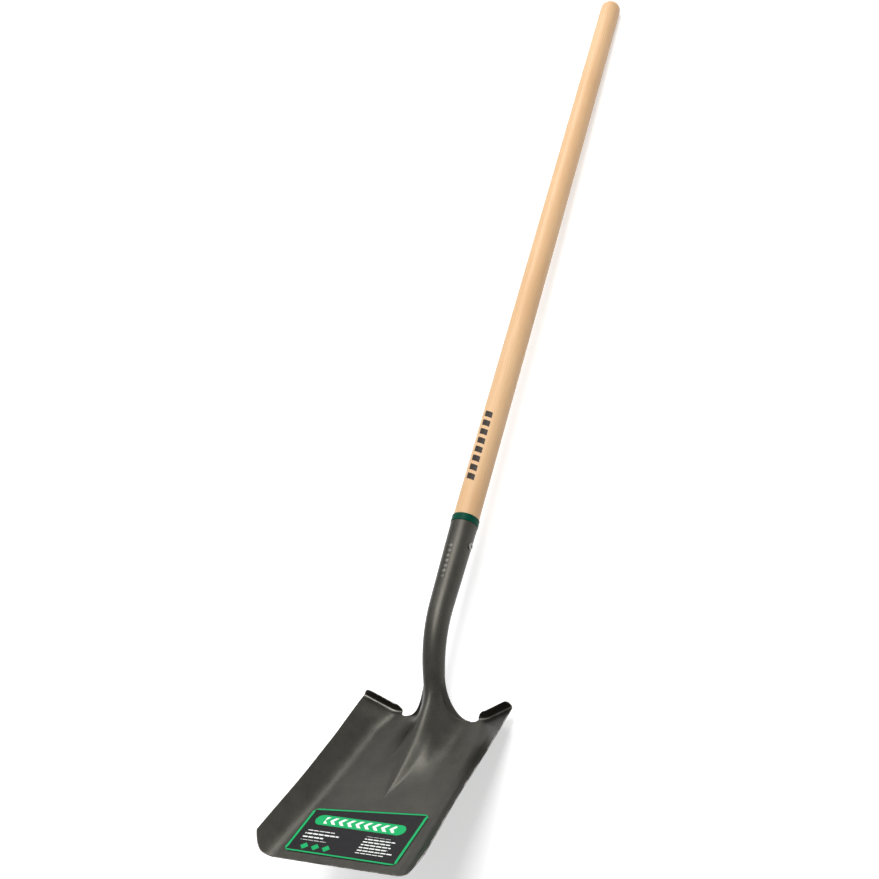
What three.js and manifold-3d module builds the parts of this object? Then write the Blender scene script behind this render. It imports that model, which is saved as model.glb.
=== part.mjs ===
// Square mouth shovel: a pressed steel blade with a rolled socket, a long wooden handle, a rivet, a collar and
// a label. Millimetres, +Z up. It lies on its back on a level surface, with the hollow side of the blade up: the
// heel of the blade and the far end of the handle touch that surface. +Y runs towards the grip end.
//
// The pieces are first made in the tool's own axes: the handle's axis is the Y axis, Y is zero at the top of the
// socket and grows towards the grip, X is the width and +Z is the side that faces the user of the pan.

import * as THREE from 'three';
import { mergeVertices } from 'three/addons/utils/BufferGeometryUtils.js';
import Module from 'manifold-3d';

const wasm = await Module();
wasm.setup();

const degree = Math.PI / 180;

// Clearances
const clearance = 0.3;
const overrun = 2;

// Steel sheet
const sheet = 1.5;

// Handle
const handleExposed = 1085;
const chuckLength = 134;
const handleRadiusLow = 19.05;
const handleRadiusHigh = 17.45;
const domeLength = 15;
const chuckTipRadius = 14;
const chuckTipLength = 9;
const shoulderChamfer = 0.6;

// Socket and neck, by the outer face of the sheet
const rimRadius = 19.75;
const neckRadius = 15.4;
const socketStraight = 126;
const neckBendRadius = 150;
const neckBendAngle = 38 * degree;
const seamGap = 1.2;
const throatLength = 60;
const throatAngle = 66 * degree;

// Place of the blade: the shoulder line of the pan, seen from the top of the socket
const shoulderBelow = 257.6;
const shoulderBehind = 76;
const lift = 30.1 * degree;

// Pan
const bladeLength = 305;
const mouthWidth = 243;
const sideWidth = 232.5;
const flareLength = 150;
const flatZone = 115;
const flatZoneDrop = 3;
const shoulderDrop = 1;

// Turned-up sides
const wallFootShoulder = 72;
const wallFootBack = 84;
const wallFootMouth = 98;
const wallFootFade = 45;
const wallFootRadius = 30;
const edgeRiseShoulder = 23.8;
const edgeRiseMouth = 20.5;
const edgeRiseFade = 100;

// Cut corners of the mouth
const cornerStart = 105;
const cornerLength = 22;
const cornerPower = 1.7;

// Notches beside the neck
const notchBottomX = 51;
const notchDepth = 7;
const notchOuterX = 60;

// Steps: flanges turned forward at the shoulder
const stepLine = 1.5;
const stepHeight = 12;
const stepFoldRadius = 2.5;
const stepInnerRound = 12;
const stepOuterRound = 7;

// Ridge from the neck into the pan. It and its keel end at set distances from the mouth.
const ridgeRootRise = 33;
const ridgeFromMouth = 185;
const ridgeReach = bladeLength - ridgeFromMouth;
const ridgeHalf = 49;
const ridgeSoftness = 45;
const ridgeLean = 34.6 * degree;
const radiiShare = 3.5;
const crestShare = 0.34;
const crestShareAhead = 0.62;
const crestSpreadStart = 10;
const crestSpreadEnd = 120;
const keelRise = 2.6;
const keelHalf = 17;
const keelFromMouth = 140;
const keelTip = bladeLength - keelFromMouth;
const keelFade = 60;
const keelClosing = 5;
const creaseHeight = 1;
const creaseHalf = 2.5;
const creaseFromMouth = 123;
const creaseTip = bladeLength - creaseFromMouth;
const creaseFade = 40;

// Rivet
const rivetBelow = 33;
const rivetShankRadius = 3;
const rivetHeadRadius = 5;
const rivetDomeHeight = 2.6;
const rivetFlatHeight = 1.4;

// Collar
const collarLength = 11;
const collarWall = 1;
const collarEdge = 0.4;

// Label
const labelFilm = 0.3;
const labelFromMouth = 14;
const labelLeft = -84;
const labelRight = 80;
const labelDepthLeft = 82;
const labelDepthRight = 98;
const labelCorner = 12;

// Fineness of the surfaces
const archSteps = 12;
const tailSteps = 1;
const strapSteps = archSteps + tailSteps;
const archEvenShare = 0.35;
const notchSteps = 5;
const wallSteps = 16;
const socketSteps = 4;
const bendSteps = 7;
const heelSteps = 10;
const ridgeRows = 11;
const creaseRows = 4;
const mouthRows = 3;
const foldSteps = 3;
const flangeSteps = 2;
const roundSides = 32;
const smallSides = 24;
const arcSteps = 6;

// Small helpers

const mix = (from, to, share) => from + (to - from) * share;
const smooth = (value) => {
  const share = Math.min(Math.max(value, 0), 1);
  return share * share * (3 - 2 * share);
};
const countUp = (steps) => Array.from({ length: steps + 1 }, (unused, index) => index / steps);

// A ramp that is zero below nothing and rises one for one above it, rounded over twice the softness.
function softRamp(value, softness) {
  if (value <= -softness) return 0;
  if (value >= softness) return value;
  return (value + softness) ** 2 / (4 * softness);
}

// Closed solids for joins and cuts

function toSolid(geometry) {
  const bare = geometry.clone();
  bare.deleteAttribute('normal');
  bare.deleteAttribute('uv');
  const merged = mergeVertices(bare);
  return new wasm.Manifold(
    new wasm.Mesh({
      numProp: 3,
      vertProperties: new Float32Array(merged.attributes.position.array),
      triVerts: new Uint32Array(merged.index.array),
    }),
  );
}

function toGeometry(solid) {
  const mesh = solid.getMesh();
  const geometry = new THREE.BufferGeometry();
  geometry.setAttribute('position', new THREE.BufferAttribute(new Float32Array(mesh.vertProperties), 3));
  geometry.setIndex(new THREE.BufferAttribute(new Uint32Array(mesh.triVerts), 1));
  geometry.computeVertexNormals();
  return geometry;
}

function cutAway(geometry, cutter) {
  return toGeometry(toSolid(geometry).subtract(toSolid(cutter)));
}

// Lathe profiles are read from the low end to the high end of the Y axis.
function turned(outline, sides) {
  return new THREE.LatheGeometry(
    outline.map(([radius, height]) => new THREE.Vector2(radius, height)),
    sides,
  );
}

// Points of a quarter ellipse, from its widest point to its top.
function quarterDome(radius, height, base) {
  return countUp(arcSteps).map((share) => {
    const angle = (share * Math.PI) / 2;
    const atTop = share === 1;
    return [atTop ? 0 : radius * Math.cos(angle), base + height * Math.sin(angle)];
  });
}

// Sheet metal: patches of surface points are joined, given their thickness and closed along the free edges.
// Each patch is a list of rows, and each point has its place and the direction in which its thickness is laid,
// or none where the surface's own normal is used. Seen from the front face, rows run down and columns to the right.

function sheetSolid(patches, thickness) {
  const places = [];
  const directions = [];
  const known = new Map();
  const index = (point) => {
    const key = point.place.toArray().map((value) => Math.round(value * 1000)).join();
    if (!known.has(key)) {
      known.set(key, places.length);
      places.push(point.place);
      directions.push(point.direction);
    }
    return known.get(key);
  };
  const front = [];
  const addTriangle = (a, b, c) => {
    if (a !== b && b !== c && c !== a) front.push([a, b, c]);
  };
  for (const rows of patches) {
    for (let row = 0; row + 1 < rows.length; row += 1) {
      for (let column = 0; column + 1 < rows[row].length; column += 1) {
        const corners = [
          rows[row][column],
          rows[row][column + 1],
          rows[row + 1][column + 1],
          rows[row + 1][column],
        ].map(index);
        addTriangle(corners[0], corners[2], corners[1]);
        addTriangle(corners[0], corners[3], corners[2]);
      }
    }
  }
  const normals = places.map(() => new THREE.Vector3());
  for (const [a, b, c] of front) {
    const side = places[b].clone().sub(places[a]);
    const face = side.cross(places[c].clone().sub(places[a]));
    for (const corner of [a, b, c]) normals[corner].add(face);
  }
  const back = places.map((place, corner) => {
    const direction = directions[corner] ?? normals[corner].normalize();
    return place.clone().addScaledVector(direction, -thickness);
  });
  const count = places.length;
  const faces = [...front];
  for (const [a, b, c] of front) faces.push([a + count, c + count, b + count]);
  const edges = new Set(front.flatMap(([a, b, c]) => [`${a} ${b}`, `${b} ${c}`, `${c} ${a}`]));
  for (const edge of edges) {
    const [from, to] = edge.split(' ').map(Number);
    if (edges.has(`${to} ${from}`)) continue;
    faces.push([to, from, from + count], [to, from + count, to + count]);
  }
  const geometry = new THREE.BufferGeometry();
  const values = [...places, ...back].flatMap((place) => place.toArray());
  geometry.setAttribute('position', new THREE.Float32BufferAttribute(values, 3));
  geometry.setIndex(faces.flat());
  geometry.computeVertexNormals();
  return geometry;
}

// Blade axes: x across, along from the shoulder line to the mouth, rise towards the user

const alongAxis = new THREE.Vector3(0, -Math.cos(lift), Math.sin(lift));
const riseAxis = new THREE.Vector3(0, Math.sin(lift), Math.cos(lift));
const shoulder = new THREE.Vector3(0, -shoulderBelow, -shoulderBehind);

function bladePlace(x, along, rise) {
  return new THREE.Vector3(x, 0, 0).add(shoulder).addScaledVector(alongAxis, along).addScaledVector(riseAxis, rise);
}

// The pan is flat near the mouth and slightly hollow behind that.
const zoneSlope = flatZoneDrop / flatZone;
const zoneRise = (along) => zoneSlope * (along - bladeLength);
const hollowLength = bladeLength - flatZone - notchDepth;
const hollowCurve = (-shoulderDrop - zoneRise(notchDepth)) / hollowLength ** 2;

function panRise(along) {
  const behind = Math.max(bladeLength - flatZone - along, 0);
  return zoneRise(along) + hollowCurve * behind ** 2;
}

// Side of the pan, from the notch line outwards: flat, then an arc, then a straight wall up to the edge
function wallSection(along) {
  const foot = mix(wallFootBack, wallFootMouth, along / bladeLength)
    - (wallFootBack - wallFootShoulder) * (1 - smooth(along / wallFootFade));
  const flare = smooth((along - bladeLength + flareLength) / flareLength);
  const wide = mix(sideWidth, mouthWidth, flare) / 2 - foot;
  const high = mix(edgeRiseShoulder, edgeRiseMouth, smooth(along / edgeRiseFade)) - panRise(along);
  const slope = Math.atan2(high, wide);
  const tangent = wallFootRadius * Math.tan(slope / 2);
  const flat = foot - tangent - notchBottomX;
  const arc = wallFootRadius * slope;
  return { slope, flat, arc, total: flat + arc + Math.hypot(wide, high) - tangent };
}

// A point of the side at a share of the way from the notch line to the edge
function wallPoint(share, along) {
  const section = wallSection(along);
  const run = share * section.total;
  const turn = Math.min(Math.max(run - section.flat, 0) / wallFootRadius, section.slope);
  const beyond = Math.max(run - section.flat - section.arc, 0);
  const x = notchBottomX + Math.min(run, section.flat)
    + wallFootRadius * Math.sin(turn) + beyond * Math.cos(turn);
  const rise = panRise(along) + wallFootRadius * (1 - Math.cos(turn)) + beyond * Math.sin(turn);
  return { place: bladePlace(x, along, rise), turn };
}

// Rise of the ridge's crest over the pan
function crestRise(along) {
  return (ridgeRootRise / ridgeReach) * softRamp(ridgeReach - along, ridgeSoftness);
}

// A low keel along the crest, which narrows to a crease and ends in the pan
function keelRiseAt(x, along) {
  const spread = keelHalf * Math.max(1 - (along / keelTip) ** keelClosing, 0);
  const keel = keelRise * smooth((keelTip - along) / keelFade);
  const crease = creaseHeight * smooth((creaseTip - along) / creaseFade);
  return (keel + crease) * (1 - smooth(x / Math.hypot(spread, creaseHalf)));
}

// Ridge: a rounded crest, straight flanks where it is low, and a rounded foot. The crest broadens ahead.
function ridgeSection(along) {
  const height = crestRise(along);
  const widest = radiiShare * ridgeHalf;
  const spare = ridgeHalf ** 2 + height ** 2 - 2 * height * widest;
  const radii = spare < 0 ? widest + spare / (2 * height) : widest;
  const flank = Math.sqrt(Math.max(spare, 0));
  const turn = Math.atan2(height - radii, ridgeHalf) + Math.atan2(radii, flank);
  const spread = smooth((along - crestSpreadStart) / (crestSpreadEnd - crestSpreadStart));
  const crestRadius = mix(crestShare, crestShareAhead, spread) * radii;
  return { height, crestRadius, footRadius: radii - crestRadius, flank, turn };
}

// A point of the middle strap, counted in columns from the crest to the notch line. The columns stand closer
// together near the crest.
function strapPoint(column, along) {
  const { height, crestRadius, footRadius, flank, turn } = ridgeSection(along);
  const share = Math.min(column / archSteps, 1);
  const length = (crestRadius + footRadius) * turn + flank;
  const run = length * mix(share ** 2, share, archEvenShare);
  const crest = Math.min(run / crestRadius, turn);
  const down = Math.min(Math.max(run - crestRadius * turn, 0), flank);
  const left = turn - Math.max(run - crestRadius * turn - flank, 0) / footRadius;
  const tail = Math.max(column - archSteps, 0) / tailSteps;
  const x = crestRadius * Math.sin(crest) + down * Math.cos(turn)
    + footRadius * (Math.sin(turn) - Math.sin(left)) + tail * (notchBottomX - ridgeHalf);
  const fall = crestRadius * (1 - Math.cos(crest)) + down * Math.sin(turn)
    + footRadius * (Math.cos(left) - Math.cos(turn));
  const above = height - fall + keelRiseAt(x, along);
  const lean = Math.tan(ridgeLean) * (crestRise(along) / ridgeRootRise);
  return bladePlace(x, along + lean * above, panRise(along) + above);
}

// Neck: the centre line is straight, then bends backwards
const neckLength = socketStraight + neckBendRadius * neckBendAngle;

function neckFrame(distance) {
  const angle = Math.max(distance - socketStraight, 0) / neckBendRadius;
  const centre = new THREE.Vector3(
    0,
    -Math.min(distance, socketStraight) - neckBendRadius * Math.sin(angle),
    neckBendRadius * (Math.cos(angle) - 1),
  );
  const forward = new THREE.Vector3(0, -Math.sin(angle), Math.cos(angle));
  return { centre, forward, radius: mix(rimRadius, neckRadius, distance / neckLength) };
}

function tubePoint(column, distance) {
  const { centre, forward, radius } = neckFrame(distance);
  const open = Math.max(distance - neckLength + throatLength, 0) / throatLength;
  const reach = Math.PI - seamGap / 2 / radius - throatAngle * open ** 2;
  const angle = reach * (column / strapSteps);
  const place = centre.clone().addScaledVector(forward, radius * Math.cos(angle));
  place.x += radius * Math.sin(angle);
  return place;
}

// Heel: each column leaves the neck the way the neck runs and meets the pan the way the pan runs. The outer
// columns come in sideways, so that their free edge forms the inner side of the notch.
function heelPoint(column, share) {
  const from = tubePoint(column, neckLength);
  const to = strapPoint(column, notchDepth);
  const reach = from.distanceTo(to);
  const leaving = from.clone().sub(tubePoint(column, neckLength - sheet)).normalize().multiplyScalar(reach);
  const forwards = strapPoint(column, notchDepth + sheet).sub(to).normalize();
  const sideways = to.clone().sub(strapPoint(column - 1, notchDepth)).normalize();
  const sidewaysShare = smooth((column / strapSteps - crestShare) / (1 - crestShare));
  const arriving = forwards.lerp(sideways, sidewaysShare).normalize().multiplyScalar(reach);
  const square = share ** 2;
  const cube = share ** 3;
  return new THREE.Vector3()
    .addScaledVector(from, 2 * cube - 3 * square + 1)
    .addScaledVector(leaving, cube - 2 * square + share)
    .addScaledVector(to, 3 * square - 2 * cube)
    .addScaledVector(arriving, cube - square);
}

const mirrored = (point) => ({
  place: point.place.clone().setX(-point.place.x),
  direction: point.direction,
});

// A row over the whole strap, from the left edge to the right one
function strapRow(pointAt) {
  const half = countUp(strapSteps).map((share) => pointAt(Math.round(share * strapSteps)));
  return [...half.slice(1).reverse().map(mirrored), ...half];
}

// Where the keel closes to a crease, the thickness is laid straight down.
function strapDirection(along) {
  return along > keelTip - keelFade ? riseAxis : undefined;
}

const ridgeAlong = countUp(ridgeRows).map((share) => mix(notchDepth, keelTip, share));
const creaseAlong = countUp(creaseRows).map((share) => mix(keelTip, bladeLength - flatZone, share));
const panAlong = [...ridgeAlong, ...creaseAlong.slice(1)];
const { total: shoulderRun } = wallSection(stepLine);

// Shares of the side's width at which its columns stand
const notchShare = (notchOuterX - notchBottomX) / shoulderRun;
const wallShares = [
  ...countUp(notchSteps).map((share) => share * notchShare),
  ...countUp(wallSteps).slice(1).map((share) => mix(notchShare, 1, smooth(share))),
];

// The mouth is straight and its corners are cut off.
function mouthEnd(share) {
  const { total } = wallSection(bladeLength);
  const flat = cornerStart - notchBottomX;
  const beyond = Math.max(share * total - flat, 0) / (total - flat);
  return bladeLength - cornerLength * beyond ** cornerPower;
}

function mouthAlong(row, share) {
  return mix(bladeLength - flatZone, mouthEnd(share), row / mouthRows);
}

// The notch runs as a quarter ellipse from its bottom to the inner end of the step.
function shoulderStart(share) {
  const across = Math.min(share / notchShare, 1);
  return stepLine + (notchDepth - stepLine) * Math.sqrt(1 - across ** 2);
}

function strapPatch() {
  const rows = [];
  for (const share of countUp(socketSteps)) {
    rows.push(strapRow((column) => ({ place: tubePoint(column, share * socketStraight) })));
  }
  for (const share of countUp(bendSteps).slice(1)) {
    const distance = mix(socketStraight, neckLength, share);
    rows.push(strapRow((column) => ({ place: tubePoint(column, distance) })));
  }
  for (const share of countUp(heelSteps).slice(1)) {
    rows.push(strapRow((column) => ({ place: heelPoint(column, share) })));
  }
  for (const along of panAlong.slice(1)) {
    const direction = strapDirection(along);
    rows.push(strapRow((column) => ({ place: strapPoint(column, along), direction })));
  }
  for (const row of countUp(mouthRows).slice(1)) {
    const along = mouthAlong(row * mouthRows, 0);
    rows.push(strapRow((column) => ({ place: strapPoint(column, along), direction: riseAxis })));
  }
  return rows;
}

function sidePatch() {
  const rows = [wallShares.map((share) => ({ place: wallPoint(share, shoulderStart(share)).place }))];
  for (const along of panAlong.slice(1)) {
    rows.push(wallShares.map((share) => ({ place: wallPoint(share, along).place })));
  }
  for (const row of countUp(mouthRows).slice(1)) {
    rows.push(
      wallShares.map((share) => ({ place: wallPoint(share, mouthAlong(row * mouthRows, share)).place })),
    );
  }
  return rows;
}

// Height of a step over the fold, rounded at both ends
function stepRise(share) {
  const fromInner = (share - notchShare) * shoulderRun;
  const fromOuter = (1 - share) * shoulderRun;
  const inner = Math.max(stepInnerRound - fromInner, 0);
  const outer = Math.max(stepOuterRound - fromOuter, 0);
  return stepHeight
    - (stepInnerRound - Math.sqrt(stepInnerRound ** 2 - inner ** 2))
    - (stepOuterRound - Math.sqrt(stepOuterRound ** 2 - outer ** 2));
}

function stepPatch() {
  const shares = wallShares.filter((share) => share >= notchShare);
  const pointAt = (share, turn, height) => {
    const base = wallPoint(share, stepLine);
    const up = riseAxis.clone().multiplyScalar(Math.cos(base.turn));
    up.x -= Math.sin(base.turn);
    const place = base.place.clone()
      .addScaledVector(alongAxis, -stepFoldRadius * Math.sin(turn))
      .addScaledVector(up, stepFoldRadius * (1 - Math.cos(turn)) + height);
    return { place };
  };
  const rows = [];
  for (const step of countUp(flangeSteps).slice(1).reverse()) {
    rows.push(shares.map((share) => pointAt(share, Math.PI / 2, step * (stepRise(share) - stepFoldRadius))));
  }
  for (const step of countUp(foldSteps).reverse()) {
    rows.push(shares.map((share) => pointAt(share, (step * Math.PI) / 2, 0)));
  }
  return rows;
}

const rivetHoleRadius = rivetShankRadius + clearance;

function rivetHole() {
  const cutter = new THREE.CylinderGeometry(rivetHoleRadius, rivetHoleRadius, 2 * (rimRadius + overrun), smallSides);
  cutter.rotateZ(Math.PI / 2);
  cutter.translate(0, -rivetBelow, 0);
  return cutter;
}

function bladeGeometry() {
  const right = [sidePatch(), stepPatch()];
  const left = right.map((rows) => rows.map((row) => row.map(mirrored).reverse()));
  return cutAway(sheetSolid([strapPatch(), ...right, ...left], sheet), rivetHole());
}

// Handle with a tapered chuck in the socket

const socketBore = (distance) => neckFrame(distance).radius - sheet;

function handleGeometry() {
  const chuckEnd = -chuckLength;
  const taperEnd = chuckEnd + chuckTipLength;
  const outline = [
    [0, chuckEnd],
    [chuckTipRadius, chuckEnd],
    [socketBore(-taperEnd) - 2 * clearance, taperEnd],
    [socketBore(0) - clearance, 0],
    [socketBore(0) - clearance, clearance],
    [handleRadiusLow - shoulderChamfer, clearance],
    [handleRadiusLow, clearance + shoulderChamfer],
    ...quarterDome(handleRadiusHigh, domeLength, handleExposed - domeLength),
  ];
  return cutAway(turned(outline, roundSides), rivetHole());
}

// Rivet, along X, with a domed head on the right and a flatter one on the left

const rivetSeat = neckFrame(rivetBelow).radius + clearance;

function rivetGeometry() {
  const flatHead = quarterDome(rivetHeadRadius, rivetFlatHeight, 0).map(([radius, height]) => [
    radius,
    -rivetSeat - height,
  ]);
  const outline = [
    ...flatHead.reverse(),
    [rivetShankRadius, -rivetSeat],
    [rivetShankRadius, rivetSeat],
    ...quarterDome(rivetHeadRadius, rivetDomeHeight, rivetSeat),
  ];
  return turned(outline, smallSides);
}

function collarGeometry() {
  const inner = handleRadiusLow + clearance;
  const outer = inner + collarWall;
  const bottom = clearance;
  const top = bottom + collarLength;
  return turned(
    [
      [inner, bottom],
      [outer - collarEdge, bottom],
      [outer, bottom + collarEdge],
      [outer, top - collarEdge],
      [outer - collarEdge, top],
      [inner, top],
      [inner, bottom],
    ],
    roundSides,
  );
}

// Label: a rounded panel with a slanting upper edge, drawn across the pan and away from the mouth

function labelGeometry() {
  const corners = [
    [labelLeft, 0],
    [labelRight, 0],
    [labelRight, labelDepthRight],
    [labelLeft, labelDepthLeft],
  ].map(([x, y]) => new THREE.Vector2(x, y));
  const outline = new THREE.Shape();
  corners.forEach((corner, index) => {
    const before = corners[(index + corners.length - 1) % corners.length];
    const after = corners[(index + 1) % corners.length];
    const enter = corner.clone().add(before.clone().sub(corner).setLength(labelCorner));
    const leave = corner.clone().add(after.clone().sub(corner).setLength(labelCorner));
    if (index === 0) outline.moveTo(enter.x, enter.y);
    else outline.lineTo(enter.x, enter.y);
    outline.quadraticCurveTo(corner.x, corner.y, leave.x, leave.y);
  });
  outline.closePath();
  return new THREE.ExtrudeGeometry(outline, { depth: labelFilm, bevelEnabled: false, curveSegments: arcSteps });
}

// Materials

const steel = new THREE.MeshStandardMaterial({ color: 0x544e49, roughness: 0.42, metalness: 0.85 });
const wood = new THREE.MeshStandardMaterial({ color: 0xe2bd8c, roughness: 0.5, metalness: 0 });
const bright = new THREE.MeshStandardMaterial({ color: 0xb9b8b4, roughness: 0.3, metalness: 1 });
const green = new THREE.MeshStandardMaterial({ color: 0x0b4b3a, roughness: 0.45, metalness: 0 });
const film = new THREE.MeshStandardMaterial({ color: 0x1d1b1d, roughness: 0.35, metalness: 0 });

function piece(name, geometry, material) {
  const mesh = new THREE.Mesh(geometry, material);
  mesh.name = name;
  return mesh;
}

const tool = new THREE.Group();
tool.add(piece('blade', bladeGeometry(), steel));
tool.add(piece('handle', handleGeometry(), wood));
tool.add(piece('collar', collarGeometry(), green));

const rivet = piece('rivet', rivetGeometry(), bright);
rivet.position.set(0, -rivetBelow, 0);
rivet.rotation.set(0, 0, -Math.PI / 2);
tool.add(rivet);

// The label's group lies in the plane of the pan's flat zone, with its Y axis pointing away from the mouth.
const labelSeat = new THREE.Group();
const zoneAngle = Math.atan(zoneSlope);
labelSeat.position.copy(bladePlace(0, bladeLength, 0));
labelSeat.rotation.set(-lift - zoneAngle, 0, 0);
const label = piece('label', labelGeometry(), film);
label.position.set(0, labelFromMouth, clearance);
labelSeat.add(label);
tool.add(labelSeat);

// Lying pose: the angle at which the heel and the end of the handle are equally low
function lowest(angle) {
  tool.rotation.set(angle, 0, 0);
  tool.updateMatrixWorld(true);
  const low = (name) => new THREE.Box3().setFromObject(tool.getObjectByName(name), true).min.z;
  return low('blade') - low('handle');
}

function lyingAngle() {
  let high = 0;
  let low = -lift;
  while (high - low > Number.EPSILON) {
    const middle = (high + low) / 2;
    if (middle === high || middle === low) break;
    if (lowest(middle) < 0) high = middle;
    else low = middle;
  }
  return high;
}

tool.rotation.set(lyingAngle(), 0, 0);
tool.updateMatrixWorld(true);
const box = new THREE.Box3().setFromObject(tool, true);
const shovel = new THREE.Group();
shovel.name = 'square_mouth_shovel';
shovel.add(tool);
tool.position.set(0, -(box.min.y + box.max.y) / 2, -box.min.z);

export default shovel;
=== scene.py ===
"""A square mouth shovel, dressed: steel blade, grained wooden handle, collar, rivet and printed label.

Every shape is drawn in the tool's own axes, in millimetres. The handle's axis is the Y axis: Y is zero at the
top of the socket and grows towards the grip. X is the width and +Z faces the user. LAY puts the tool down on
the floor, in metres.
"""

import math

import bpy
import numpy as np
from mathutils import Matrix, Vector


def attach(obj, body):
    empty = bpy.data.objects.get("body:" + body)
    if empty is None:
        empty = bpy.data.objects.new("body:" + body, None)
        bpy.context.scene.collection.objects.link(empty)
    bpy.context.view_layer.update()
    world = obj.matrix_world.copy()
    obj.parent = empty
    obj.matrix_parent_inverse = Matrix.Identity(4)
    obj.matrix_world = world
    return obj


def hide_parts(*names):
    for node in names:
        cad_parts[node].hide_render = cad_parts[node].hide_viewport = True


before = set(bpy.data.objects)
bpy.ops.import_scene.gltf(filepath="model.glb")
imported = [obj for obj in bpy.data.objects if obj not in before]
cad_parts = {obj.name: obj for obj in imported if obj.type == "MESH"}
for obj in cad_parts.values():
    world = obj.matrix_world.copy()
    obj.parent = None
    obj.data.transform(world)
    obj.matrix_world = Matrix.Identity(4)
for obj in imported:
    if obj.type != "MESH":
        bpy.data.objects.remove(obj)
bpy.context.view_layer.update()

# How the tool lies on the floor
LYING_ANGLE = -0.04535098983173992
LYING_PLACE = (0.0, -282.797753629928, 65.94098600114049)
METRE = 0.001
LAY = (
    Matrix.Scale(METRE, 4)
    @ Matrix.Translation(LYING_PLACE)
    @ Matrix.Rotation(LYING_ANGLE, 4, "X")
)

# Sizes, as in the solid model
CLEARANCE = 0.3
SHEET = 1.5
HANDLE_EXPOSED = 1085.0
CHUCK_LENGTH = 134.0
HANDLE_LOW = 19.05
HANDLE_HIGH = 17.45
DOME_LENGTH = 15.0
TIP_MARGIN = 0.03
FOOT_ROUND = 0.6
CHUCK_CHAMFER = 1.0
CHUCK_TIP = 14.0
CHUCK_TIP_LENGTH = 9.0
RIM_RADIUS = 19.75
NECK_RADIUS = 15.4
SOCKET_STRAIGHT = 126.0
BEND_RADIUS = 150.0
BEND_ANGLE = math.radians(38)
SEAM_GAP = 1.2
THROAT_LENGTH = 60.0
THROAT_ANGLE = math.radians(66)
LIFT = math.radians(30.1)
SHOULDER = np.array([0.0, -257.6, -76.0])
BLADE_LENGTH = 305.0
MOUTH_WIDTH = 243.0
SIDE_WIDTH = 232.5
FLARE_LENGTH = 150.0
FLAT_ZONE = 115.0
FLAT_ZONE_DROP = 3.0
SHOULDER_DROP = 1.0
WALL_FOOT_SHOULDER = 72.0
WALL_FOOT_BACK = 84.0
WALL_FOOT_MOUTH = 98.0
WALL_FOOT_FADE = 45.0
WALL_FOOT_RADIUS = 30.0
EDGE_RISE_SHOULDER = 23.8
EDGE_RISE_MOUTH = 20.5
EDGE_RISE_FADE = 100.0
CORNER_START = 105.0
CORNER_LENGTH = 22.0
CORNER_POWER = 1.7
NOTCH_X = 51.0
NOTCH_DEPTH = 7.0
NOTCH_OUTER = 60.0
STEP_LINE = 1.5
STEP_HEIGHT = 12.0
FOLD_RADIUS = 2.5
STEP_INNER = 12.0
STEP_OUTER = 7.0
RIDGE_RISE = 33.0
RIDGE_REACH = 120.0
RIDGE_HALF = 49.0
RIDGE_SOFT = 45.0
RIDGE_LEAN = math.radians(34.6)
RADII_SHARE = 3.5
CREST_SHARE = 0.34
CREST_SHARE_AHEAD = 0.62
CREST_SPREAD_START = 10.0
CREST_SPREAD_END = 120.0
KEEL_RISE = 2.6
KEEL_HALF = 17.0
KEEL_TIP = 165.0
KEEL_FADE = 60.0
KEEL_CLOSING = 5.0
CREASE_HEIGHT = 1.0
CREASE_HALF = 2.5
CREASE_TIP = 182.0
CREASE_FADE = 40.0
EVEN_SHARE = 0.35
RIVET_BELOW = 33.0
RIVET_HEAD = 5.0
RIVET_SHANK = 3.0
RIVET_DOME = 2.6
RIVET_FLAT = 1.4
RIVET_LIP = 0.1
COLLAR_LENGTH = 11.0
COLLAR_WALL = 1.0
COLLAR_ROUND = 0.5
COLLAR_WAIST = 0.12
COLLAR_LOW_BAND = 2.6
COLLAR_HIGH_BAND = 2.0
LABEL_FILM = 0.3
LABEL_FROM_MOUTH = 14.0
LABEL_LEFT = -84.0
LABEL_RIGHT = 80.0
LABEL_DEPTH_LEFT = 82.0
LABEL_DEPTH_RIGHT = 98.0
LABEL_CORNER = 12.0

# Fineness of the dressed pieces
ARCH, TAIL = 30, 2
STRAP = ARCH + TAIL
NOTCH_COLS = 8
WALL_COLS = 34
SOCKET_ROWS = 14
BEND_ROWS = 26
HEEL_ROWS = 34
RIDGE_ROWS = 44
CREASE_ROWS = 20
MOUTH_ROWS = 20
FOLD_ROWS = 6
FLANGE_ROWS = 5
POLE_SIDES = 96
POLE_ROWS = 60
FOOT_ROUND_STEPS = 4
DOME_STEPS = 16
COLLAR_ROUND_STEPS = 5
RIVET_SIDES = 48
RIVET_FLAT_STEPS = 9
RIVET_DOME_STEPS = 11
LABEL_CORNER_STEPS = 12

ALONG = np.array([0.0, -math.cos(LIFT), math.sin(LIFT)])
RISE = np.array([0.0, math.sin(LIFT), math.cos(LIFT)])


def mix(a, b, share):
    return a + (b - a) * share


def smooth(value):
    share = min(max(value, 0.0), 1.0)
    return share * share * (3 - 2 * share)


def soft_ramp(value, softness):
    if value <= -softness:
        return 0.0
    if value >= softness:
        return value
    return (value + softness) ** 2 / (4 * softness)


def count_up(steps):
    return [i / steps for i in range(steps + 1)]


def unit(vector):
    return vector / np.linalg.norm(vector)


def blade_place(x, along, rise):
    return np.array([x, 0.0, 0.0]) + SHOULDER + ALONG * along + RISE * rise


ZONE_SLOPE = FLAT_ZONE_DROP / FLAT_ZONE


def zone_rise(along):
    return ZONE_SLOPE * (along - BLADE_LENGTH)


HOLLOW_CURVE = (-SHOULDER_DROP - zone_rise(NOTCH_DEPTH)) / (BLADE_LENGTH - FLAT_ZONE - NOTCH_DEPTH) ** 2


def pan_rise(along):
    behind = max(BLADE_LENGTH - FLAT_ZONE - along, 0.0)
    return zone_rise(along) + HOLLOW_CURVE * behind**2


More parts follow.
